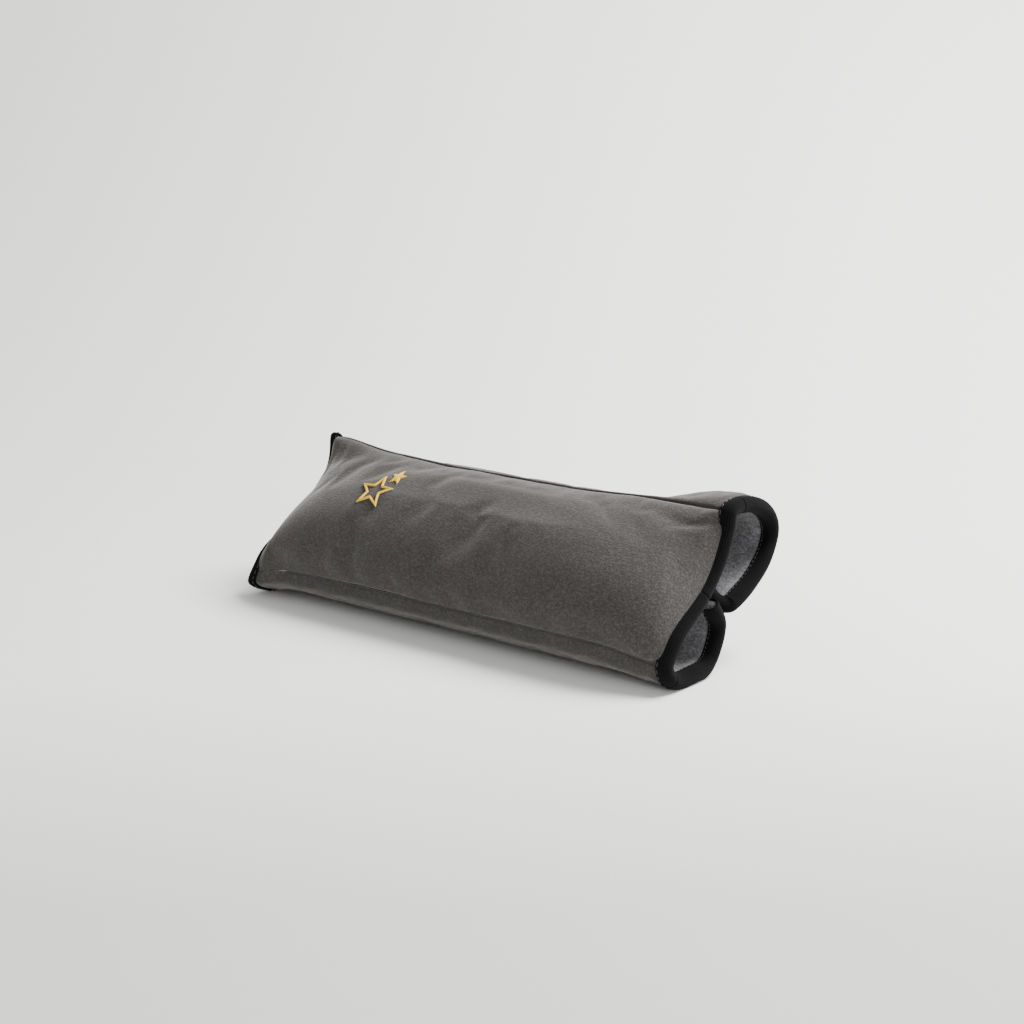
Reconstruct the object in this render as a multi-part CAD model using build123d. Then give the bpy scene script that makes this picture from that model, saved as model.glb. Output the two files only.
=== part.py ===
from build123d import *
import os
from math import pi, sin, sqrt

# Seat belt pillow: a padded cushion with two padded flaps that wrap round a shoulder belt.
# +X runs along the length, +Y away from the decorated face, +Z up. It lies on the lower flap.

os.makedirs("parts", exist_ok=True)

# ---- driving dimensions, mm ----
length = 280.0             # cloth length, without the tape
depth_centre = 56.8764     # section depth that the frame is centred on
cover = 1.5                # plush cover
wadding = 3.0              # padding of the flaps
lining = 1.2               # fleece lining
ply_gap = 0.05             # air between two sewn layers
sheet = cover + wadding + lining + 2 * ply_gap
front_bulge = 27.1         # how far the stuffing pushes the decorated face out
back_bulge = 1.8           # how far it pushes the lining in
bulge_reach = 133.0        # half length over which the cushion is stuffed
tape = 1.05                # binding tape thickness
tape_width = 7.0           # how far the tape covers the cloth
thread = 0.25              # height of a stitch row on the tape
thread_width = 0.8
closure = 1.4              # thickness of each half of the hook and loop closure
closure_width = 10.0
closure_length = 250.0
seam_thread_radius = 0.6
edge_gap = 1.2             # cloth stops this far from the seam line it turns about
star_height = 0.8          # raised satin stitch
large_star_radius = 12.0
small_star_radius = 5.5
curve_points = 44          # points that each layer curve is drawn through

# ---- section shape: (depth, height) of the outer face, before centring ----
low_seam = (9.3, 15.5)
top_seam = (63.5, 82.5)
front_edge = [low_seam, (11.3, 20), (14.4, 25.2), (20.5, 31.5), (29, 37.2), (37, 42), (44.6, 47.6),
              (52.2, 56.3), (58.3, 66.5), (61.7, 75), top_seam]
lower_edge = [low_seam, (10.6, 8.8), (15.8, 3.5), (24, 0.75), (36, 0.7), (50, 0.85), (56.7, 4.6),
              (60.9, 12.3), (62.3, 20.5), (61.5, 26), (59.3, 30.3), (55.9, 34.7), (52.5, 39.1)]
upper_edge = [top_seam, (75, 85.5), (88, 84), (99.5, 79.5), (107.5, 72), (110.5, 62), (106, 50.5),
              (96.5, 41.5), (86, 35.5), (76, 31.5), (71.1, 29.8), (66.1, 29.6), (62, 32.4),
              (58.6, 36.8), (55.2, 41.2)]


def outline(points):
    """Smooth curve through the section points, centred on the frame."""
    return Edge.make_spline([Vector(y - depth_centre, z) for y, z in points])


front_path, lower_path, upper_path = outline(front_edge), outline(lower_edge), outline(upper_edge)


def side(path, depth, inward, start, mitre, stop):
    """Curve beside the path; depth is a number or a function of the share of the length."""
    offset = depth if callable(depth) else (lambda share: depth)
    first = start + mitre * abs(offset(0.0))
    last = path.length - stop(offset(1.0))
    points = []
    for i in range(curve_points):
        s = first + (last - first) * i / (curve_points - 1)
        along = path.tangent_at(s, position_mode=PositionMode.LENGTH)
        normal = Vector(-along.Y, along.X) * inward
        points.append(path.position_at(s, position_mode=PositionMode.LENGTH)
                      + normal * offset(s / path.length))
    return Edge.make_spline(points)


def layer(path, near, far, inward, start=edge_gap, mitre=0.0, stop=None):
    """Face between two curves beside the path."""
    stop = stop or (lambda depth: 0.0)
    a = side(path, near, inward, start, mitre, stop)
    b = side(path, far, inward, start, mitre, stop)
    rim = [a, Edge.make_line(a @ 1, b @ 1), b, Edge.make_line(b @ 0, a @ 0)]
    return Plane.YZ * Face(Wire(rim))


def run(face, x0, x1):
    """Prism of a section face from one station to another."""
    return extrude(Pos(x0, 0, 0) * face, amount=x1 - x0, dir=(1, 0, 0))


# ---- cushion ----
top_mitre, low_mitre = 0.60, 0.55     # how far the cloth edges slant back from each seam
round_off = 0.6                       # the stuffing fills the cushion out to its edges


def end_gap(depth):
    """How far the cushion stops short of the upper seam line, mitred like the flap there."""
    return edge_gap + top_mitre * abs(depth)


def swell(x):
    """Share of the stuffing bulge at a station along the length."""
    return sqrt(max(0.0, 1 - (x / bulge_reach) ** 4))


def front_face(x):
    return lambda share: -front_bulge * swell(x) * sin(pi * share) ** round_off


def back_face(x):
    return lambda share: sheet + back_bulge * swell(x) * sin(pi * share)


def shifted(curve, amount):
    return lambda share: curve(share) + amount


half_stations = [0, 40, 70, 90, 104, 115, 124, 129, bulge_reach, length / 2]
stations = [-x for x in reversed(half_stations[1:])] + half_stations


def stuffed(near, far):
    """Cushion layer whose two faces follow the stuffing; near and far are functions of x."""
    sections = [Pos(x, 0, 0) * layer(front_path, near(x), far(x), -1, mitre=low_mitre, stop=end_gap)
                for x in stations]
    return Solid.make_loft([s.outer_wire() for s in sections], ruled=True)


front_cover = stuffed(front_face, lambda x: shifted(front_face(x), cover))
front_filling = stuffed(lambda x: shifted(front_face(x), cover + ply_gap),
                        lambda x: shifted(back_face(x), -lining - ply_gap))
front_lining = stuffed(lambda x: shifted(back_face(x), -lining), back_face)


# ---- flaps ----
def flap(path, inward, mitre):
    """Cover, wadding and lining of one flap."""
    depths = [(0, cover), (cover + ply_gap, sheet - lining - ply_gap), (sheet - lining, sheet)]
    return [run(layer(path, a, b, inward, mitre=mitre), -length / 2, length / 2) for a, b in depths]


upper_cover, upper_wadding, upper_lining = flap(upper_path, -1, top_mitre)
lower_cover, lower_wadding, lower_lining = flap(lower_path, 1, low_mitre)


def closure_strip(path, inward):
    """Half of the hook and loop closure, on the outer face of the turned-in edge."""
    begin = path.length - closure_width - 1.5
    strip = layer(path, -ply_gap - closure, -ply_gap, inward, start=begin, stop=lambda d: 1.5)
    return run(strip, -closure_length / 2, closure_length / 2)


hook_strip = closure_strip(upper_path, -1)
loop_strip = closure_strip(lower_path, 1)

# ---- binding tape round the two ends, with its stitch row ----
floor = Pos(0, 0, -10) * Box(2 * length, 300, 20)


def binding(path, inward, end, mitre, stop=None, stitch_inside=False):
    """Tape folded over a cloth end and the stitch row that holds it; end is -1 or 1."""
    edge, inner = end * length / 2, end * (length / 2 - tape_width)
    around = layer(path, -ply_gap - tape, sheet + ply_gap + tape, inward, mitre=mitre, stop=stop)
    within = layer(path, -ply_gap, sheet + ply_gap, inward, start=-1.0, mitre=mitre,
                   stop=lambda d: -1.5)
    folded = run(around, inner, edge + end * (tape + ply_gap))
    folded = folded - run(within, inner - end, edge + end * ply_gap) - floor
    base = sheet + 2 * ply_gap + tape if stitch_inside else -2 * ply_gap - tape - thread
    row = layer(path, base, base + thread, inward, start=edge_gap + 3, mitre=mitre,
                stop=lambda d: (stop(d) if stop else 0.0) + 3)
    place = edge - end * (tape_width - 1.5)
    return folded.solids()[0], run(row, place - thread_width / 2, place + thread_width / 2)


pieces = {}
for name, end in (("left", -1), ("right", 1)):
    rows = {
        "front": binding(front_path, -1, end, low_mitre, stop=end_gap),
        "upper": binding(upper_path, -1, end, top_mitre),
        "lower": binding(lower_path, 1, end, low_mitre, stitch_inside=True),
    }
    for part_name, (folded, row) in rows.items():
        pieces[f"{name}_{part_name}_binding"] = folded
        pieces[f"{name}_{part_name}_binding_stitch"] = row

# ---- seam threads that the flaps turn about ----
for name, seam in (("upper", top_seam), ("lower", low_seam)):
    thread_line = Rot(0, 90, 0) * Cylinder(seam_thread_radius, length - 2)
    pieces[f"{name}_seam_thread"] = Pos(0, seam[0] - depth_centre, seam[1]) * thread_line


# ---- embroidery: an open five-pointed star and a small filled one ----
def star(radius, inner_share=0.45):
    """Outline points of a five-pointed star."""
    return [Vector(0, radius * (inner_share if i % 2 else 1.0)).rotate(Axis.Z, 36 * i)
            for i in range(10)]


raised = stuffed(lambda x: shifted(front_face(x), -ply_gap - star_height),
                 lambda x: shifted(front_face(x), -ply_gap))
large_shape = make_face(Polyline(*star(large_star_radius), close=True))
large_shape -= make_face(Polyline(*star(large_star_radius * 0.66), close=True))
small_shape = make_face(Polyline(*star(small_star_radius), close=True))


def stitched(shape, x, share):
    """Cut the star out of the raised layer, square to the decorated face."""
    at = front_path.position_at(share)
    along = front_path.tangent_at(share)
    spot = Plane(origin=(x, at.X, at.Y), x_dir=(1, 0, 0), z_dir=(0, -along.Y, along.X))
    return (raised & (spot * extrude(shape, amount=60, both=True))).solids()[0]


pieces["large_star"] = stitched(large_shape, -67, 0.57)
pieces["small_star"] = stitched(small_shape, -59.5, 0.79)

pieces.update(front_cover=front_cover, front_filling=front_filling, front_lining=front_lining,
              upper_flap_cover=upper_cover, upper_flap_wadding=upper_wadding,
              upper_flap_lining=upper_lining, lower_flap_cover=lower_cover,
              lower_flap_wadding=lower_wadding, lower_flap_lining=lower_lining,
              hook_strip=hook_strip, loop_strip=loop_strip)

for name, piece in pieces.items():
    export_step(piece, f"parts/{name}.step")
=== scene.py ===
import math

import bpy
import numpy as np
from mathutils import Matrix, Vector, noise


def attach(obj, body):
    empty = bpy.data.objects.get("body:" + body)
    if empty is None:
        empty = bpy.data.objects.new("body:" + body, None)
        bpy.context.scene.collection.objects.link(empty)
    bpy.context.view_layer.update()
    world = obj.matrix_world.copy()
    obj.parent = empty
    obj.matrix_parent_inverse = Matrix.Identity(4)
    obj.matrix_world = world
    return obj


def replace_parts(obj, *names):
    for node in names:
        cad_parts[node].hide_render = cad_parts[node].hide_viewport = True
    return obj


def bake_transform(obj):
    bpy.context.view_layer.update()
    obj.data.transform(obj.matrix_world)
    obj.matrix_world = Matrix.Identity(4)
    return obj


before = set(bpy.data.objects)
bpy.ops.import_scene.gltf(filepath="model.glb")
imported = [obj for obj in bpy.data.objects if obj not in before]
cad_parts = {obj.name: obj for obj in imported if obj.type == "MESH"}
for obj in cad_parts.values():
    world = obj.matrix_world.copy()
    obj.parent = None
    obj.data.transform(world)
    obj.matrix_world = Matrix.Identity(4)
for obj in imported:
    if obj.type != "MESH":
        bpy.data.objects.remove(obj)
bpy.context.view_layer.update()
MM = 0.001

# ---------------------------------------------------------------------------------------------
# Cut and section of the pillow, in mm. The outline runs from the turned-in edge of the lower
# flap, under the pillow, up the decorated face and round the upper flap to its turned-in edge.
# ---------------------------------------------------------------------------------------------
CLOTH = 280.0            # length of the cloth between the taped ends
SHEET = 5.9              # cover, wadding and lining together
TAPE_WIDTH = 7.0
TAPE_WALL = 0.9
DEPTH_CENTRE = 56.88     # the frame is centred on the section's depth
LOWER = [(52.5, 39.1), (55.9, 34.7), (59.3, 30.3), (61.5, 26), (62.3, 20.5), (60.9, 12.3),
         (56.7, 4.6), (50, 0.85), (36, 0.7), (24, 0.75), (15.8, 3.5), (10.6, 8.8)]
LOW_SEAM = (9.3, 15.5)
FACE = [(11.3, 20), (14.4, 25.2), (20.5, 31.5), (29, 37.2), (37, 42), (44.6, 47.6), (52.2, 56.3),
        (58.3, 66.5), (61.7, 75)]
TOP_SEAM = (63.5, 82.5)
UPPER = [(75, 85.5), (88, 84), (99.5, 79.5), (107.5, 72), (110.5, 62), (106, 50.5), (96.5, 41.5),
         (86, 35.5), (76, 31.5), (71.1, 29.8), (66.1, 29.6), (62, 32.4), (58.6, 36.8), (55.2, 41.2)]


def cut_line(points, samples=1400):
    """Smooth line through the section points: run lengths, places and the run at each point."""
    p = np.array(points, float)
    p[:, 0] -= DEPTH_CENTRE
    t = np.concatenate([[0], np.cumsum(np.linalg.norm(np.diff(p, axis=0), axis=1))])
    h, n = np.diff(t), len(t)
    system, right = np.eye(n), np.zeros((n, 2))
    for i in range(1, n - 1):
        system[i, i - 1:i + 2] = h[i - 1], 2 * (h[i - 1] + h[i]), h[i]
        right[i] = 6 * ((p[i + 1] - p[i]) / h[i] - (p[i] - p[i - 1]) / h[i - 1])
    bend = np.linalg.solve(system, right)
    fine = np.unique(np.concatenate([np.linspace(0, t[-1], samples), t]))
    k = np.clip(np.searchsorted(t, fine, side="right") - 1, 0, n - 2)
    a, b, w = (t[k + 1] - fine)[:, None], (fine - t[k])[:, None], h[k][:, None]
    line = (bend[k] * a ** 3 + bend[k + 1] * b ** 3) / (6 * w)
    line += (p[k] / w - bend[k] * w / 6) * a + (p[k + 1] / w - bend[k + 1] * w / 6) * b
    run = np.concatenate([[0], np.cumsum(np.linalg.norm(np.diff(line, axis=0), axis=1))])
    return run, line, run[np.searchsorted(fine, t)]


RUN, LINE, KNOTS = cut_line(LOWER + [LOW_SEAM] + FACE + [TOP_SEAM] + UPPER)
LOW, TOP, END = KNOTS[len(LOWER)], KNOTS[len(LOWER) + len(FACE) + 1], KNOTS[-1]


def section(run):
    """Place and inward direction of the cloth's outer side at a run length, both (y, z)."""
    run = np.asarray(run, float)
    place = np.stack([np.interp(run, RUN, LINE[:, i]) for i in (0, 1)], -1)
    ahead = np.stack([np.interp(run + 0.6, RUN, LINE[:, i]) for i in (0, 1)], -1)
    behind = np.stack([np.interp(run - 0.6, RUN, LINE[:, i]) for i in (0, 1)], -1)
    along = ahead - behind
    along /= np.linalg.norm(along, axis=-1, keepdims=True)
    return place, np.stack([along[..., 1], -along[..., 0]], -1)


def ease(value, low, high):
    t = np.clip((np.asarray(value, float) - low) / (high - low), 0, 1)
    return t * t * (3 - 2 * t)


def bump_at(value, centre, width):
    return np.exp(-((np.asarray(value, float) - centre) / width) ** 2)


def on_pillow(run, depth, x):
    """Points in mm at a run length, a depth into the cloth and a place along the pillow."""
    place, inward = section(run)
    yz = place + inward * np.asarray(depth, float)[..., None]
    x = np.broadcast_to(np.asarray(x, float), yz.shape[:-1])
    tucked = 7.0 * ease(run, END - 20, END - 5) * ease(np.abs(x), 96, 134)
    return np.concatenate([(x - np.sign(x) * tucked)[..., None], yz], -1)


# How far the pillow leaves its straight section as it lies, mm
FLAP_SAG = 12.0          # upper flap, between the ends
SEAM_SAG = 2.0           # top seam, between the ends
CORNER_LIFT = 4.5        # top left corner
LEFT_SPREAD = 7.0        # left end, at the floor
LEFT_TUCK = 3.2          # left end, drawn in at mid height
BELLY_PUSH = 5.0         # decorated face and low seam, forwards
UNDERSIDE_PUSH = 2.5     # cloth just under the low seam, forwards
UNDERSIDE_LIFT = 5.6     # front of the underside, off the floor


def settle(points):
    """How the pillow lies: its belly comes forwards and the upper flap sags behind the seam."""
    x, y, z = points[:, 0], points[:, 1], points[:, 2]
    out = points.copy()
    # the upper flap and the top seam sag; the right end keeps its shape
    behind = ease(y, 5, 19) * ease(z, 44, 80)
    out[:, 2] -= FLAP_SAG * behind * (1 - ease(x, 66, 131))
    top = bump_at(y, 5, 9) * ease(z, 66, 82)
    out[:, 2] -= SEAM_SAG * top * ease(x, -100, -40) * (1 - ease(x, 40, 90))
    out[:, 2] += CORNER_LIFT * top * (1 - ease(x, -132, -86))
    # the left end spreads at the floor and is drawn in at mid height by the stuffing
    left = 1 - ease(x, -140, -84)
    out[:, 0] -= left * (LEFT_SPREAD - 11.0 * ease(z, 4, 80))
    out[:, 0] += LEFT_TUCK * (1 - ease(x, -140, -114)) * bump_at(z, 40, 19)
    # the belly and the low seam lie further forward than the taped right end
    front = 1 - ease(y, -38, -9)
    forward = (1 - ease(x, 92, 135)) * front
    pushed = BELLY_PUSH * (1 - ease(z, 20, 72)) + UNDERSIDE_PUSH * bump_at(z, 7.5, 5.0)
    out[:, 1] -= forward * pushed
    # the stuffing keeps the front of the underside off the floor between the ends
    off_floor = 1 - np.clip((y + 38) / 31, 0, 1) ** 0.8
    clear = ease(x, -142, -112) * (1 - ease(x, 96, 135)) * (1 - ease(z, 14, 46))
    out[:, 2] += UNDERSIDE_LIFT * off_floor * clear
    out[:, 2] -= 2.0 * (1 - ease(x, -138, -80)) * front * bump_at(z, 17, 8)
    # at the right end the lower loop is narrower at its heel
    heel = ease(x, 96, 134) * np.exp(-((y - 1) ** 2 + (z - 7) ** 2) / 150) * (1 - ease(z, 20, 28))
    out[:, 1] -= 2.6 * heel
    out[:, 2] += 1.8 * heel
    out[:, 2] = np.maximum(out[:, 2], 0)  # nothing lies below the floor
    return out


# ---------------------------------------------------------------------------------------------
# Materials
# ---------------------------------------------------------------------------------------------
def srgb(code):
    """sRGB hex colour as linear values."""
    parts = [int(code[i:i + 2], 16) / 255 for i in (1, 3, 5)]
    return [v / 12.92 if v <= 0.04045 else ((v + 0.055) / 1.055) ** 2.4 for v in parts] + [1.0]


def add_node(tree, kind, settings=None, **inputs):
    """Add a node; inputs are values or sockets, with _ for a space in the socket's name."""
    node = tree.nodes.new(kind)
    for key, value in (settings or {}).items():
        setattr(node, key, value)
    for key, value in inputs.items():
        socket = node.inputs[int(key[1:])] if key[0] == "n" and key[1:].isdigit() else \
            node.inputs[key.replace("_", " ")]
        if isinstance(value, bpy.types.NodeSocket):
            tree.links.new(value, socket)
        else:
            socket.default_value = value
    return node


def new_material(name):
    material = bpy.data.materials.new(name)
    material.use_nodes = True
    material.node_tree.nodes.clear()
    return material, material.node_tree


def finish_material(tree, shader):
    add_node(tree, "ShaderNodeOutputMaterial", Surface=shader.outputs["BSDF"])


def shades(tree, factor, stops):
    """Colour ramp with (place, hex) stops."""
    ramp = add_node(tree, "ShaderNodeValToRGB", n0=factor)
    elements = ramp.color_ramp.elements
    while len(elements) < len(stops):
        elements.new(0.5)
    for element, (place, code) in zip(elements, stops):
        element.position, element.color = place, srgb(code)
    return ramp.outputs["Color"]


def pile_cloth(name, dark, mid, light, tuft_mm, sheen, depth):
    """Cut or brushed pile: fine tufts that scatter light, darker between them, soft streaks."""
    material, tree = new_material(name)
    where = add_node(tree, "ShaderNodeTexCoord").outputs["Object"]
    tufts = add_node(tree, "ShaderNodeTexNoise", Vector=where, Scale=1000 / tuft_mm, Detail=1.5,
                     Roughness=0.55)
    lean = add_node(tree, "ShaderNodeMapping", Vector=where, Rotation=(0.3, 0.0, 0.5),
                    Scale=(1.0, 1.7, 1.7))
    clumps = add_node(tree, "ShaderNodeTexVoronoi", {"feature": "SMOOTH_F1"},
                      Vector=lean.outputs["Vector"], Scale=1000 / (tuft_mm * 2.4), Smoothness=0.9)
    strokes = add_node(tree, "ShaderNodeTexNoise", Vector=where, Scale=1000 / 55, Detail=2.0,
                       Roughness=0.5, Distortion=0.3)
    both = add_node(tree, "ShaderNodeMath", {"operation": "MULTIPLY_ADD"},
                    n0=clumps.outputs["Distance"], n1=0.35, n2=tufts.outputs["Fac"])
    tone = add_node(tree, "ShaderNodeMath", {"operation": "MULTIPLY_ADD"},
                    n0=strokes.outputs["Fac"], n1=0.25, n2=both.outputs["Value"])
    colour = shades(tree, tone.outputs["Value"], [(0.45, dark), (0.78, mid), (1.10, light)])
    relief = add_node(tree, "ShaderNodeBump", Strength=0.55, Distance=depth * MM,
                      Height=both.outputs["Value"])
    shader = add_node(tree, "ShaderNodeBsdfPrincipled", Base_Color=colour, Roughness=0.95,
                      Sheen_Weight=sheen, Sheen_Roughness=0.4, Normal=relief.outputs["Normal"],
                      Specular_IOR_Level=0.12)
    shader.inputs["Sheen Tint"].default_value = srgb("#CFCBC8")
    finish_material(tree, shader)
    return material


# Short cut polyester plush, 1.5 mm pile: dull grey that lightens where it is seen edge-on.
plush = pile_cloth("short_cut_polyester_plush", "#2D2B2A", "#383635", "#454341", 0.85, 0.55, 0.5)
# Brushed fleece, the cooler and paler inside of the loops, with a looser nap.
fleece = pile_cloth("brushed_polyester_fleece", "#4C4C4E", "#606062", "#77777A", 1.1, 0.25, 0.6)


def woven_tape():
    """Black polyester binding tape: a matt plain weave with ribs across the tape."""
    material, tree = new_material("plain_weave_polyester_binding")
    run = add_node(tree, "ShaderNodeUVMap", {"uv_map": "tape_mm"}).outputs["UV"]
    # thread spacing 0.55 mm along the tape and 0.7 mm across it, drawn at twice that to show
    warp = add_node(tree, "ShaderNodeTexWave", {"wave_type": "BANDS", "bands_direction": "X"},
                    Vector=run, Scale=2 * math.pi / 20 / 1.1, Distortion=0.6, Detail=1.0,
                    Detail_Scale=1.5)
    weft = add_node(tree, "ShaderNodeTexWave", {"wave_type": "BANDS", "bands_direction": "Y"},
                    Vector=run, Scale=2 * math.pi / 20 / 1.4, Distortion=0.6, Detail=1.0,
                    Detail_Scale=1.5)
    weave = add_node(tree, "ShaderNodeMath", {"operation": "MULTIPLY"},
                     n0=warp.outputs["Fac"], n1=weft.outputs["Fac"])
    where = add_node(tree, "ShaderNodeTexCoord").outputs["Object"]
    lint = add_node(tree, "ShaderNodeTexNoise", Vector=where, Scale=1000 / 9, Detail=4.0)
    mixed = add_node(tree, "ShaderNodeMath", {"operation": "MULTIPLY_ADD"},
                     n0=lint.outputs["Fac"], n1=0.7, n2=weave.outputs["Value"])
    colour = shades(tree, mixed.outputs["Value"], [(0.2, "#080808"), (0.8, "#0D0D0E"),
                                                   (1.4, "#151516")])
    relief = add_node(tree, "ShaderNodeBump", Strength=0.35, Distance=0.15 * MM,
                      Height=weave.outputs["Value"])
    shader = add_node(tree, "ShaderNodeBsdfPrincipled", Base_Color=colour, Roughness=0.95,
                      Sheen_Weight=0.02, Sheen_Roughness=0.5, Normal=relief.outputs["Normal"],
                      Specular_IOR_Level=0.03)
    finish_material(tree, shader)
    return material


def twisted_thread(name, dark, light, pitch_mm, rough, sheen):
    """Thread whose plies show as fine slanted ridges along the stitch."""
    material, tree = new_material(name)
    run = add_node(tree, "ShaderNodeUVMap", {"uv_map": "thread_mm"}).outputs["UV"]
    plies = add_node(tree, "ShaderNodeTexWave", {"wave_type": "BANDS", "bands_direction": "X"},
                     Vector=run, Scale=2 * math.pi / 20 / pitch_mm, Distortion=0.5, Detail=1.0,
                     Detail_Scale=2.0)
    where = add_node(tree, "ShaderNodeTexCoord").outputs["Object"]
    wear = add_node(tree, "ShaderNodeTexNoise", Vector=where, Scale=1000 / 3.0, Detail=2.0)
    tone = add_node(tree, "ShaderNodeMath", {"operation": "MULTIPLY_ADD"},
                    n0=wear.outputs["Fac"], n1=0.5, n2=plies.outputs["Fac"])
    colour = shades(tree, tone.outputs["Value"], [(0.15, dark), (1.2, light)])
    relief = add_node(tree, "ShaderNodeBump", Strength=0.8, Distance=0.3 * MM,
                      Height=plies.outputs["Fac"])
    shader = add_node(tree, "ShaderNodeBsdfPrincipled", Base_Color=colour, Roughness=rough,
                      Sheen_Weight=sheen, Normal=relief.outputs["Normal"], Specular_IOR_Level=0.5)
    finish_material(tree, shader)
    return material


tape_cloth = woven_tape()
# Spun polyester sewing thread, nearly black, a little shinier than the tape it holds.
black_thread = twisted_thread("spun_polyester_thread", "#08080A", "#161617", 0.8, 0.6, 0.05)
# Seam thread sunk between two edges of plush, dyed to match them.
grey_thread = twisted_thread("dyed_polyester_thread", "#262423", "#3B3836", 0.8, 0.8, 0.1)
# Rayon embroidery thread in satin stitch: close glossy rows across each stroke.
gold_thread = twisted_thread("rayon_satin_stitch", "#B37E00", "#FFD22E", 0.75, 0.4, 0.0)


def nylon_closure(name, spacing_mm, tuft, code_dark, code_light, depth):
    """Hook or loop field: rows of nylon ends, or a tangle of soft loops."""
    material, tree = new_material(name)
    where = add_node(tree, "ShaderNodeTexCoord").outputs["Object"]
    field = add_node(tree, "ShaderNodeTexVoronoi", {"feature": "F1"}, Vector=where,
                     Scale=1000 / spacing_mm, Randomness=tuft)
    fuzz = add_node(tree, "ShaderNodeTexNoise", Vector=where, Scale=1000 / 0.8, Detail=3.0)
    tone = add_node(tree, "ShaderNodeMath", {"operation": "MULTIPLY_ADD"},
                    n0=fuzz.outputs["Fac"], n1=0.5, n2=field.outputs["Distance"])
    colour = shades(tree, tone.outputs["Value"], [(0.2, code_light), (0.9, code_dark)])
    relief = add_node(tree, "ShaderNodeBump", {"invert": True}, Strength=0.9,
                      Distance=depth * MM, Height=tone.outputs["Value"])
    shader = add_node(tree, "ShaderNodeBsdfPrincipled", Base_Color=colour, Roughness=0.6,
                      Normal=relief.outputs["Normal"])
    finish_material(tree, shader)
    return material


# Moulded nylon hooks stand in rows 1.6 mm apart; knitted nylon loops lie in a soft tangle.
hooks = nylon_closure("moulded_nylon_hooks", 1.6, 0.15, "#0B0B0C", "#39383A", 0.6)
loops = nylon_closure("knitted_nylon_loops", 1.2, 1.0, "#101011", "#302F31", 0.4)


# ---------------------------------------------------------------------------------------------
# Making and finishing pieces
# ---------------------------------------------------------------------------------------------
def only(piece):
    """Make one object the active and only selected one."""
    if bpy.context.object and bpy.context.object.mode != "OBJECT":
        bpy.ops.object.mode_set(mode="OBJECT")
    bpy.ops.object.select_all(action="DESELECT")
    piece.select_set(True)
    bpy.context.view_layer.objects.active = piece


def laid_grid(name, points, uv_name=None, uv=None):
    """Cloth panel: a grid laid on an array of points (rows, columns, 3) in mm."""
    rows, columns = points.shape[:2]
    bpy.ops.object.select_all(action="DESELECT")
    bpy.ops.mesh.primitive_grid_add(x_subdivisions=columns - 1, y_subdivisions=rows - 1, size=1)
    piece = bpy.context.object
    piece.name = piece.data.name = name
    if uv_name:
        layer = piece.data.uv_layers[0]
        layer.name = uv_name
        flat = np.asarray(uv, float).reshape(-1, 2)
        corner = np.empty(len(piece.data.loops), int)
        piece.data.loops.foreach_get("vertex_index", corner)
        layer.data.foreach_set("uv", flat[corner].ravel())
    piece.data.vertices.foreach_set("co", (points.reshape(-1, 3) * MM).ravel())
    piece.data.update()
    return piece


def edit(piece):
    only(piece)
    bpy.ops.object.mode_set(mode="EDIT")
    bpy.ops.mesh.select_all(action="SELECT")


def done(piece):
    bpy.ops.mesh.select_all(action="SELECT")
    bpy.ops.mesh.normals_make_consistent(inside=False)
    bpy.ops.object.mode_set(mode="OBJECT")
    bpy.ops.object.shade_smooth()


def modify(piece, kind, **settings):
    """Add a modifier and apply it."""
    only(piece)
    modifier = piece.modifiers.new(kind.title(), kind)
    for key, value in settings.items():
        setattr(modifier, key, value)
    bpy.ops.object.modifier_apply(modifier=modifier.name)


def places(piece):
    co = np.empty(len(piece.data.vertices) * 3)
    piece.data.vertices.foreach_get("co", co)
    return co.reshape(-1, 3) / MM


def move_to(piece, points):
    piece.data.vertices.foreach_set("co", (points * MM).ravel())
    piece.data.update()


def dress(piece, *materials):
    piece.data.materials.clear()
    for material in materials:
        piece.data.materials.append(material)


# ---------------------------------------------------------------------------------------------
# Padded pieces: closed cloth tubes pinched at their seams, blown up by a cloth simulation
# ---------------------------------------------------------------------------------------------
def stuffed_tube(name, begin, stop, outer, inner, across, along):
    """Closed pad from one run length to another; outer and inner give the depth at (run, x)."""
    half = CLOTH / 2 - 0.6
    x = half * np.sin(np.linspace(-1, 1, along) * math.pi / 2 * 0.72) / math.sin(math.pi / 2 * 0.72)
    x = np.concatenate([[-CLOTH / 2], x, [CLOTH / 2]])
    run_out = begin + (stop - begin) * np.linspace(0, 1, across)
    loop_run = np.concatenate([run_out, run_out[::-1][1:-1], run_out[:1]])
    side = np.concatenate([np.zeros(across), np.ones(across - 2), np.zeros(1)])
    runs, xs = np.meshgrid(loop_run, x)
    out, into = outer(runs, xs), inner(runs, xs)
    depth = np.where(side[None, :] > 0, into, out)
    depth[[0, -1]] = (0.5 * (out + into))[[0, -1]]
    piece = laid_grid(name, on_pillow(runs, depth, xs))
    dress(piece, plush, fleece)
    columns = len(loop_run)
    for face in piece.data.polygons:
        face.material_index = int(min(v % columns for v in face.vertices) >= across - 1)
    edit(piece)
    bpy.ops.mesh.remove_doubles(threshold=0.00001)
    done(piece)
    return piece


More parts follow.
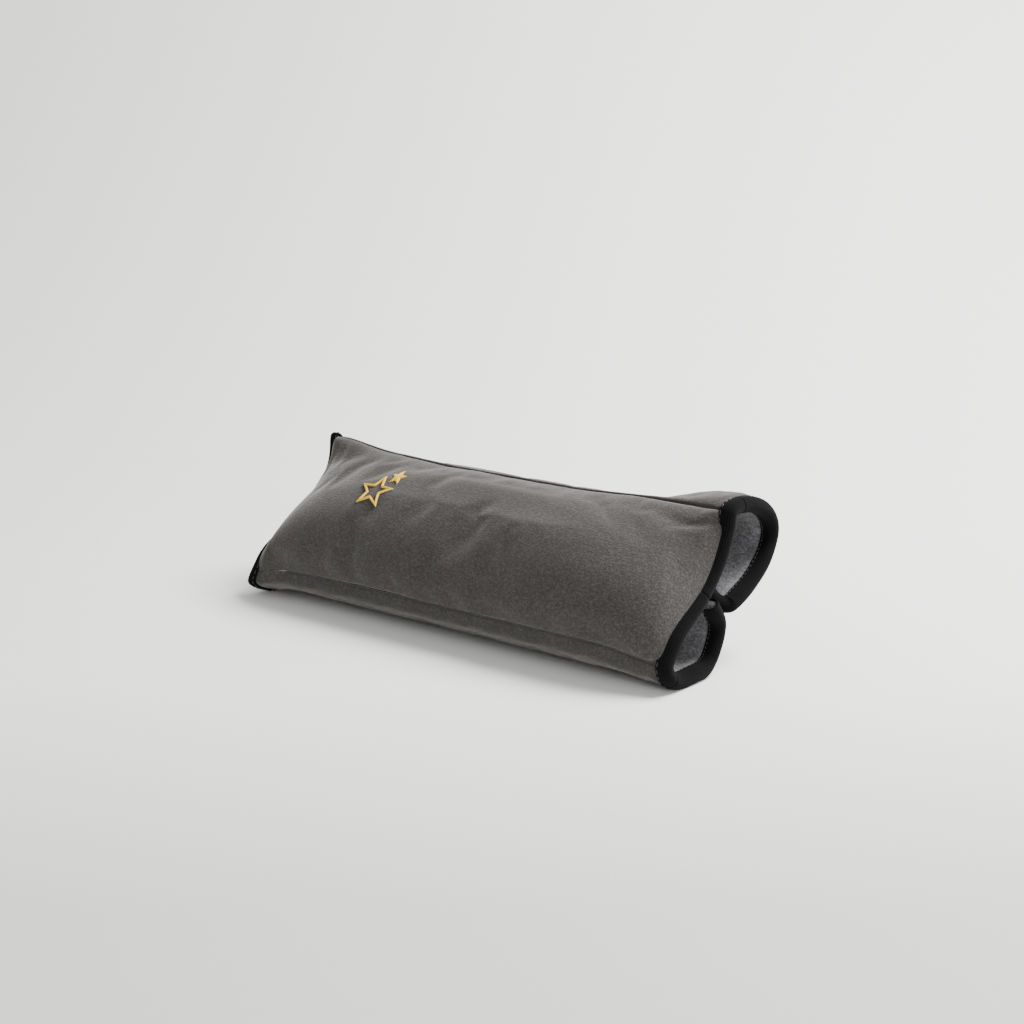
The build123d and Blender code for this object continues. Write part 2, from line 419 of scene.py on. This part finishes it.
def blow_up(piece, held, pressure, growth, cap, frames=20):
    """Cloth simulation with pinned seams, applied, no point moving further than cap mm."""
    start = places(piece)
    group = piece.vertex_groups.new(name="sewn")
    weight = held(start)
    for index in np.nonzero(weight > 0)[0]:
        group.add([int(index)], float(weight[index]), "REPLACE")
    only(piece)
    cloth = piece.modifiers.new("Cloth", "CLOTH")
    settings = cloth.settings
    settings.quality = 5
    settings.mass = 0.25
    settings.tension_stiffness = settings.compression_stiffness = 12
    settings.shear_stiffness = 4
    settings.bending_stiffness = 0.35
    settings.use_pressure = True
    settings.uniform_pressure_force = pressure
    settings.shrink_min = settings.shrink_max = -growth
    settings.vertex_group_mass = "sewn"
    settings.effector_weights.gravity = 0
    cloth.collision_settings.use_collision = False
    cloth.collision_settings.use_self_collision = False
    scene = bpy.context.scene
    for number in range(1, frames + 1):
        scene.frame_set(number)
    bpy.ops.object.modifier_apply(modifier=cloth.name)
    scene.frame_set(1)
    piece.vertex_groups.clear()
    moved = places(piece) - start
    far = np.linalg.norm(moved, axis=1, keepdims=True)
    move_to(piece, start + moved * np.minimum(1, cap / np.maximum(far, 1e-9)))


def share_of_face(run):
    return np.clip((run - LOW) / (TOP - LOW), 0, 1)


def fullness(x):
    return np.clip(1 - np.abs(np.asarray(x, float) / 136.6) ** 5, 0, 1) ** 0.5


def pinch(run, *seams):
    """Share of the full thickness near a sewn seam."""
    near = np.min([np.abs(run - seam) for seam in seams], axis=0)
    return 0.16 + 0.84 * np.sqrt(ease(near, -3, 9))


def crease(run, *seams):
    return sum(0.25 * bump_at(run, seam, 1.3) for seam in seams)


def tape_shelf(x):
    """1 between the taped ends, 0 under the tape."""
    return 1 - ease(np.abs(x), 130.5, 134.0)


def corner_fold(run, x):
    """Fold that runs from the taped right corner down into the full face, mm inwards."""
    run, x = np.broadcast_arrays(np.asarray(run, float), np.asarray(x, float))
    along = np.clip((139 - x) / 34, 0, 1)
    centre = TOP - 3.5 - 15 * along
    return 3.0 * bump_at(run, centre, 2.2 + 2.5 * along) * (1 - along) ** 0.8 * ease(x, 100, 116)


def face_outer(run, x):
    share = share_of_face(run)
    w = np.sin(math.pi * share) ** (1.0 - 0.42 * ease(share, 0.0, 0.42))
    fold = corner_fold(run, x)
    return -25.0 * fullness(x) * w - 1.2 * tape_shelf(x) * w + crease(run, LOW, TOP) + fold


def face_inner(run, x):
    w = np.sin(math.pi * share_of_face(run))
    return np.maximum(SHEET * pinch(run, LOW, TOP) + 1.2 * fullness(x) * w,
                      crease(run, LOW, TOP) + 0.7)


def upper_outer(run, x):
    full = ease(run, TOP, TOP + 10) * (1 - ease(run, END - 30, END - 18))
    return -1.6 * full * tape_shelf(x) + crease(run, TOP)


def upper_inner(run, x):
    full = ease(run, TOP + 4, TOP + 14) * (1 - ease(run, END - 30, END - 18))
    return np.maximum(SHEET * pinch(run, TOP) + 0.8 * full * tape_shelf(x), crease(run, TOP) + 0.7)


def lower_outer(run, x):
    full = (1 - ease(run, LOW - 10, LOW)) * ease(run, 16, 28)
    on_floor = bump_at(run, LOW - 34, 26)
    return -1.4 * full * tape_shelf(x) * (1 - on_floor) + crease(run, LOW)


def lower_inner(run, x):
    full = (1 - ease(run, LOW - 14, LOW - 4)) * ease(run, 16, 28)
    return np.maximum(SHEET * pinch(run, LOW) + 0.8 * full * tape_shelf(x), crease(run, LOW) + 0.7)


def near_run(points, runs):
    """Distance of each point from the cloth's line at the given run lengths, in the section."""
    spots = section(np.array(runs, float))[0]
    return np.min(np.linalg.norm(points[:, None, 1:] - spots[None], axis=2), axis=1)


def cushion_held(points):
    edge = (np.abs(points[:, 0]) > 131.5) * 1.0
    seams = (near_run(points, [LOW, TOP]) < 3.2) * 1.0
    return np.maximum(edge, seams)


def flap_held(seam, first, last):
    tab = np.linspace(first, last, 12)

    def held(points):
        edge = (np.abs(points[:, 0]) > 131.5) * 1.0
        return np.maximum(edge, (near_run(points, [seam]) < 3.2) | (near_run(points, tab) < 7.5))
    return held


def gathers(points):
    """Soft puckers where the full face is eased on to the low seam, mm outwards."""
    x = points[:, 0]
    wander = 6.0 * np.sin(x / 31.0 + 0.7) + 3.5 * np.sin(x / 12.7)
    ripple = np.cos((x + wander) / 27.0 * 2 * math.pi) + 0.45 * np.cos(x / 11.3 + 1.3)
    near = near_run(points, [LOW])
    return ripple * np.exp(-np.maximum(near - 9, 0) / 17.0) * ease(near, 1.5, 9)


LAP = 0.5                # how far the pads' pinched edges run past each seam line
cushion = stuffed_tube("cushion", LOW - LAP, TOP + LAP, face_outer, face_inner, 34, 96)
blow_up(cushion, cushion_held, 4.0, 0.01, 3.0)
upper_pad = stuffed_tube("upper_flap_pad", TOP - LAP, END, upper_outer, upper_inner, 44, 90)
blow_up(upper_pad, flap_held(TOP, END - 24, END), 1.5, 0.01, 1.5)
lower_pad = stuffed_tube("lower_flap_pad", LOW + LAP, 0.0, lower_outer, lower_inner, 36, 90)
blow_up(lower_pad, flap_held(LOW, 0, 24), 1.5, 0.01, 1.2)

for pad in (cushion, upper_pad, lower_pad):
    modify(pad, "SUBSURF", levels=1, render_levels=1)

# puckers above the low seam, the full corner that droops over it at the right end, and lumps
points = places(cushion)
from_seam = near_run(points, [LOW])
ripple = gathers(points)
face_side = ease(-points[:, 1] + 0.3 * points[:, 2], -6, 14)
inner_tape = ease(134 - np.abs(points[:, 0]), 0, 12)
points += np.array([0.0, -0.80, 0.35]) * (0.8 * ripple * face_side * inner_tape)[:, None]
droop = bump_at(points[:, 0], 127, 9) * ease(from_seam, 1, 8) * (1 - ease(from_seam, 12, 34))
points += np.array([0.5, -2.5, -5.0]) * (droop * face_side)[:, None]
lumps = np.array([noise.noise(Vector((p[0] / 46, p[1] / 40, p[2] / 40))) for p in points])
points += np.array([0.1, -0.6, 0.7]) * (0.9 * lumps * inner_tape * face_side)[:, None]
move_to(cushion, points)

# slanting drag lines where the lower flap is pulled round from the seam
points = places(lower_pad)
from_seam = near_run(points, [LOW])
drag = np.sin((points[:, 0] + 1.3 * from_seam + 5 * np.sin(points[:, 0] / 23)) / 3.6)
drag *= bump_at(from_seam, 8, 5) * ease(130 - np.abs(points[:, 0]), 0, 20)
points += np.array([0.0, -0.45, -0.2]) * (drag * ease(-points[:, 1], 38, 44))[:, None]
move_to(lower_pad, points)

TURN = 13.0              # cloth that bends beside each seam when its flap opens


def runs_near(points, first, last):
    """Run length of the outline's nearest point to each point, within a stretch of the outline."""
    keep = (RUN >= first) & (RUN <= last)
    line, run = LINE[keep][::3], RUN[keep][::3]
    return run[np.argmin(np.linalg.norm(points[:, None, 1:] - line[None], axis=2), axis=1)]


def bend_with(piece, first, last):
    """Lay a piece's points out by their run length along the outline between first and last, bake
    the piece's transform, then put the points back where they were.
    """
    points = places(piece)
    unrolled = np.zeros_like(points)
    unrolled[:, 1] = runs_near(points, first, last)
    move_to(piece, unrolled)
    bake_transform(piece)
    move_to(piece, points)


bend_with(upper_pad, TOP - 1, END)
bend_with(lower_pad, 0, LOW + 1)
for pad in (cushion, upper_pad, lower_pad):
    move_to(pad, settle(places(pad)))

# ---------------------------------------------------------------------------------------------
# Binding tape: one U-shaped strip folded over each edge, stitched along both legs
# ---------------------------------------------------------------------------------------------
def tape_fold():
    """Depth and reach of the tape round the cloth's edge, from the outer to the inner leg."""
    middle, half = SHEET / 2, SHEET / 2 + 1.25
    legs = [(-0.75, -TAPE_WIDTH), (-1.05, -TAPE_WIDTH + 0.5), (-1.15, -5.2), (-1.2, -4.0)]
    turn = [(middle - half * math.cos(a), -2.9 + 3.9 * math.sin(a))
            for a in np.linspace(0, math.pi, 11)]
    return np.array(legs + turn + [(SHEET - d, r) for d, r in reversed(legs)])


def taped(name, end, first, last, count):
    """Tape along a cloth end from one run length to another, with a material slot for the thread of
    its stitches.
    """
    fold = tape_fold()
    runs = np.linspace(first, last, count)
    wobble = 0.35 * np.sin(runs / 9.0 + end) + 0.2 * np.sin(runs / 4.1)
    depth = np.repeat(fold[:, 0][None], count, 0)
    reach = fold[:, 1][None] + wobble[:, None] * ease(fold[:, 1], -4, 1)[None] * 0.8
    grid = on_pillow(np.repeat(runs[:, None], len(fold), 1), depth, end * (CLOTH / 2 + reach))
    girth = np.concatenate([[0], np.cumsum(np.linalg.norm(np.diff(fold, axis=0), axis=1))])
    uv = np.stack(np.meshgrid(girth, runs)[::-1], -1)
    tape = laid_grid(name, grid, "tape_mm", uv)
    outward = tape.data.polygons[len(tape.data.polygons) // 2]
    if outward.normal.x * end < 0:
        edit(tape)
        bpy.ops.mesh.flip_normals()
        bpy.ops.object.mode_set(mode="OBJECT")
    bpy.ops.object.shade_smooth()
    modify(tape, "SOLIDIFY", thickness=TAPE_WALL * MM, offset=-1.0, use_rim=True)
    modify(tape, "SUBSURF", levels=1, render_levels=1)
    dress(tape, tape_cloth, black_thread)
    return tape


def stitches(name, end, first, last, depth, reach, pitch=3.3, size=2.3):
    """Row of short raised stitches along a tape leg."""
    bpy.ops.object.select_all(action="DESELECT")
    bpy.ops.mesh.primitive_uv_sphere_add(segments=6, ring_count=5, radius=0.5)
    model = bpy.context.object
    model.data.uv_layers[0].name = "thread_mm"
    ball = places(model) * MM
    made = []
    for number, run in enumerate(np.arange(first + pitch, last - pitch, pitch)):
        stitch = model.copy()
        stitch.data = model.data.copy()
        bpy.context.collection.objects.link(stitch)
        slant = 0.12 * math.sin(number * 2.4)
        along, rise, side = ball[:, 2] * size, ball[:, 0] * 0.5, ball[:, 1] * 0.62
        across = reach + side + slant * along
        spots = on_pillow(run + along, depth + rise, end * (CLOTH / 2 + across))
        move_to(stitch, spots)
        made.append(stitch)
    bpy.data.objects.remove(model)
    bpy.ops.object.select_all(action="DESELECT")
    for stitch in made:
        stitch.select_set(True)
    bpy.context.view_layer.objects.active = made[0]
    bpy.ops.object.join()
    row = bpy.context.object
    row.name = row.data.name = name
    edit(row)
    done(row)
    dress(row, tape_cloth, black_thread)
    for face in row.data.polygons:
        face.material_index = 1
    return row


def sewn(tape, rows):
    """Join the stitch rows to their tape, so that they bend as one."""
    bpy.ops.object.select_all(action="DESELECT")
    for row in rows:
        row.select_set(True)
    tape.select_set(True)
    bpy.context.view_layer.objects.active = tape
    bpy.ops.object.join()


MID = (LOW + TOP) / 2
for side, end in (("left", -1), ("right", 1)):
    parts = {
        "upper_turn": (MID, TOP + TURN, 44),
        "lower_turn": (LOW - TURN, MID, 44),
        "upper": (TOP + TURN, END, 76),
        "lower": (0.0, LOW - TURN, 52),
    }
    for part, (first, last, count) in parts.items():
        tape = taped(f"{side}_{part}_tape", end, first, last, count)
        rows = [stitches(f"row_{side}_{part}_{k}", end, first, last, depth, 1.4 - TAPE_WIDTH)
                for k, depth in enumerate((-1.3, SHEET + 1.3))]
        sewn(tape, rows)
        if part == "upper_turn":
            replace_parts(tape, f"{side}_front_binding", f"{side}_front_binding_stitch")
            bend_with(tape, first, last)
        elif part == "lower_turn":
            bend_with(tape, first, last)
        else:
            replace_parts(tape, f"{side}_{part}_binding", f"{side}_{part}_binding_stitch")
            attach(tape, f"{part}_flap")
        move_to(tape, settle(places(tape)))

# ---------------------------------------------------------------------------------------------
# Long seams, embroidery and closure
# ---------------------------------------------------------------------------------------------
def seam_line(name, run, depth, radius):
    """Sunk sewing line between two pinched edges."""
    bpy.ops.object.select_all(action="DESELECT")
    bpy.ops.mesh.primitive_cylinder_add(vertices=10, radius=1, depth=2, end_fill_type="NGON")
    line = bpy.context.object
    line.name = line.data.name = name
    line.data.uv_layers[0].name = "thread_mm"
    edit(line)
    bpy.ops.mesh.bisect(plane_co=(0, 0, 0), plane_no=(0, 0, 1))
    for k in range(1, 64):
        for height in (k / 64, -k / 64):
            bpy.ops.mesh.select_all(action="SELECT")
            bpy.ops.mesh.bisect(plane_co=(0, 0, height), plane_no=(0, 0, 1))
    done(line)
    shape = places(line) * MM
    spots = on_pillow(run + shape[:, 0] * radius, depth + shape[:, 1] * radius,
                      shape[:, 2] * (CLOTH / 2 - 2))
    move_to(line, settle(spots))
    dress(line, grey_thread)
    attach(line, "cushion")
    return line


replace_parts(seam_line("upper_seam_line", TOP, 1.1, 0.22), "upper_seam_thread")
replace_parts(seam_line("lower_seam_line", LOW, 0.45, 0.3), "lower_seam_thread")


def star_points(radius, inner_share):
    turn = np.arange(10) * math.pi / 5 + math.pi / 2
    reach = radius * np.where(np.arange(10) % 2, inner_share, 1.0)
    return np.stack([reach * np.cos(turn), reach * np.sin(turn)], -1)


def laid_on_face(flat, height, x, share):
    """Place flat (across, up) points on the finished cushion face at a height above it."""
    run = LOW + share * (TOP - LOW)
    shape = flat.shape[:-1]
    flat, height = flat.reshape(-1, 2), np.asarray(height, float).reshape(-1)
    spot, into = (value[0] for value in section(np.array([run])))
    out = np.empty((len(flat), 3))
    for i, (right, up) in enumerate(flat):
        origin = Vector((x + right, spot[0] - 60 * into[0] - up * into[1],
                         spot[1] - 60 * into[1] + up * into[0])) * MM
        _, where, normal, _ = cushion.ray_cast(origin, Vector((0, into[0], into[1])))
        out[i] = np.array(where + normal * (height[i] * MM)) / MM
    return out.reshape(shape + (3,))


def satin_quad(name, corners, rise, x, share, along=14, across=7):
    """One satin-stitched stroke between four corners; rise gives its height at (u, v)."""
    u, v = np.meshgrid(np.linspace(0, 1, along), np.linspace(0, 1, across), indexing="ij")
    a, b, c, d = [np.array(corner) for corner in corners]
    flat = ((1 - u) * (1 - v))[..., None] * a + (u * (1 - v))[..., None] * b \
        + (u * v)[..., None] * c + ((1 - u) * v)[..., None] * d
    length, width = np.linalg.norm(b - a), np.linalg.norm(d - a)
    uv = np.stack([u * length, v * width], -1)
    return laid_grid(name, laid_on_face(flat, rise(u, v), x, share), "thread_mm", uv)


def joined(name, pieces):
    bpy.ops.object.select_all(action="DESELECT")
    for piece in pieces:
        piece.select_set(True)
    bpy.context.view_layer.objects.active = pieces[0]
    bpy.ops.object.join()
    whole = bpy.context.object
    whole.name = whole.data.name = name
    edit(whole)
    bpy.ops.mesh.remove_doubles(threshold=0.00002)
    done(whole)
    return whole


def outlined_star(name, radius, x, share):
    outer, inner = star_points(radius, 0.45), star_points(radius * 0.70, 0.45)
    rise = lambda u, v: 0.40 + 0.85 * np.sqrt(np.clip(1 - (2 * v - 1) ** 2, 0, 1))
    quads = [satin_quad(f"stroke_{i}", (outer[i], outer[(i + 1) % 10], inner[(i + 1) % 10],
                                        inner[i]), rise, x, share) for i in range(10)]
    return joined(name, quads)


def filled_star(name, radius, x, share):
    rim = star_points(radius, 0.45)
    rise = lambda u, v: 0.3 + 0.85 * np.sqrt(np.clip((1 - u ** 2) * (1 - v ** 2), 0, 1))
    quads = [satin_quad(f"arm_{i}", ((0, 0), rim[i - 1], rim[i], rim[(i + 1) % 10]), rise, x,
                        share, 9, 9) for i in range(0, 10, 2)]
    return joined(name, quads)


for star, node in ((outlined_star("star_outline", 12.0, -67, 0.57), "large_star"),
                   (filled_star("star_filled", 5.5, -59.5, 0.79), "small_star")):
    dress(star, gold_thread)
    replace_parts(star, node)
    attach(star, "cushion")

CUSHION_NODES = ("front_cover", "front_filling", "front_lining")
UPPER_NODES = ("upper_flap_cover", "upper_flap_wadding", "upper_flap_lining")
LOWER_NODES = ("lower_flap_cover", "lower_flap_wadding", "lower_flap_lining")
for pad, nodes, fill in ((cushion, CUSHION_NODES, 0.75), (upper_pad, UPPER_NODES, 0.35),
                         (lower_pad, LOWER_NODES, 0.35)):
    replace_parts(pad, *nodes)
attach(cushion, "cushion")

dress(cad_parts["hook_strip"], hooks)
dress(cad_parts["loop_strip"], loops)

# ---------------------------------------------------------------------------------------------
# Studio: pale sweep with painted shade greying it towards the camera, soft light from behind on the
# right, and the camera
# ---------------------------------------------------------------------------------------------
def paper():
    """Background paper: matt and pale, with painted shade that greys it towards the camera in front
    of the pillow.
    """
    material, tree = new_material("background_paper_painted_shade")
    where = add_node(tree, "ShaderNodeTexCoord").outputs["Object"]
    grain = add_node(tree, "ShaderNodeTexNoise", Vector=where, Scale=1000 / 2.0, Detail=2.0)
    apart = add_node(tree, "ShaderNodeSeparateXYZ", Vector=where)
    nearer = add_node(tree, "ShaderNodeMath", {"operation": "MULTIPLY_ADD"}, n0=apart.outputs["Y"],
                      n1=-math.cos(VIEW), n2=0.0)
    shade_toward_camera = add_node(tree, "ShaderNodeMath", {"operation": "MULTIPLY_ADD"},
                        n0=apart.outputs["X"], n1=math.sin(VIEW), n2=nearer.outputs["Value"])
    tone = add_node(tree, "ShaderNodeMath", {"operation": "MULTIPLY_ADD"},
                    n0=grain.outputs["Fac"], n1=0.02, n2=shade_toward_camera.outputs["Value"])
    # painted shade: the paper's colour goes from #E6E6E4 to the greyer #C3C3C1 towards the camera,
    # standing in for light falling off in front of the pillow
    colour = shades(tree, tone.outputs["Value"], [(0.12, "#E6E6E4"), (0.36, "#C3C3C1")])
    finish_material(tree, add_node(tree, "ShaderNodeBsdfPrincipled", Base_Color=colour,
                                   Roughness=0.9, Specular_IOR_Level=0.1))
    return material


# The paper lies flat under the pillow and curves up behind it, square to the camera's view.
VIEW = math.radians(38.66)
profile = [(-4.0, 0.0), (0.2, 0.0)]
profile += [(0.2 + 0.9 * math.sin(a), 0.9 - 0.9 * math.cos(a)) for a in np.linspace(0.06, 1.5, 24)]
profile += [(1.12, 5.0)]
across = np.linspace(-6, 6, 9)
ahead, side_way = (-math.sin(VIEW), math.cos(VIEW)), (math.cos(VIEW), math.sin(VIEW))
spots = np.array([[[w * side_way[0] + d * ahead[0], w * side_way[1] + d * ahead[1], h]
                   for w in across] for d, h in profile])
sweep = laid_grid("floor_sweep", spots / MM)
only(sweep)
bpy.ops.object.shade_smooth()
dress(sweep, paper())


def softbox(name, place, target, size, power, tint="#FFFFFF"):
    bpy.ops.object.light_add(type="AREA", location=place)
    light = bpy.context.object
    light.name = name
    light.data.shape = "RECTANGLE"
    light.data.size, light.data.size_y = size
    light.data.energy = power
    light.data.color = srgb(tint)[:3]
    light.rotation_euler = (Vector(target) - Vector(place)).to_track_quat("-Z", "Y").to_euler()
    return light


softbox("key_behind_right", (0.50, 0.62, 1.15), (0, -0.05, 0.04), (0.7, 0.7), 62)
softbox("fill_right", (1.2, -0.55, 0.45), (0.1, 0, 0.04), (0.5, 0.5), 8)
world = bpy.data.worlds.new("studio_air")
bpy.context.scene.world = world
world.use_nodes = True
world.node_tree.nodes["Background"].inputs["Color"].default_value = srgb("#F4F4F2")
world.node_tree.nodes["Background"].inputs["Strength"].default_value = 0.75

bpy.ops.object.camera_add(location=(0.5960, -0.7380, 0.2973))
camera = bpy.context.object
camera.rotation_euler = Vector((-0.6063, 0.7579, -0.2410)).to_track_quat("-Z", "Y").to_euler()
camera.data.sensor_width = 36
camera.data.lens = 1800 / 1024 * 36
camera.data.clip_end = 50
bpy.context.scene.camera = camera
